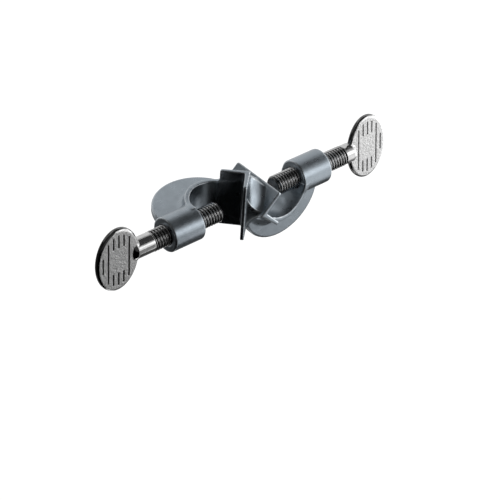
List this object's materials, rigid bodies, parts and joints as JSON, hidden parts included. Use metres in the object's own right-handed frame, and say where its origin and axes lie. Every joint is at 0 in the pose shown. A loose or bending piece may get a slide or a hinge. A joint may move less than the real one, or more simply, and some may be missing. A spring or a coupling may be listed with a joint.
{
  "type": "boss head clamp",
  "caption": "Right-angle boss head clamp: a grey enamelled casting with back-to-back V jaws and C arms, and a plated thumb screw with an oval plate in each jaw.",
  "frame": {"origin": "root of the upright jaw's V, on the axis of both screws", "axes": "+X along the screw axis from the upright jaw to the cross jaw, +Y along the cross rod, away from the viewer, +Z along the upright rod"},
  "size_m": [0.14, 0.0356, 0.0369],
  "materials": {
    "casting_enamel": "smooth semi-gloss blue-grey enamel over cast metal",
    "plated_steel": "bright nickel-plated forged steel, finely grained on the thumb plates' faces"
  },
  "bodies": {
    "casting": {"boss_head_casting": "casting_enamel"},
    "upright_screw": {"upright_jaw_screw": "plated_steel"},
    "cross_screw": {"cross_jaw_screw": "plated_steel"}
  },
  "joints": [
    {"name": "upright_screw_advance", "type": "slide", "parent": "casting", "child": "upright_screw", "axis": [1, 0, 0], "range_m": [-0.0107, 0.0055]},
    {"name": "cross_screw_advance", "type": "slide", "parent": "casting", "child": "cross_screw", "axis": [-1, 0, 0], "range_m": [-0.0101, 0.0089]}
  ]
}
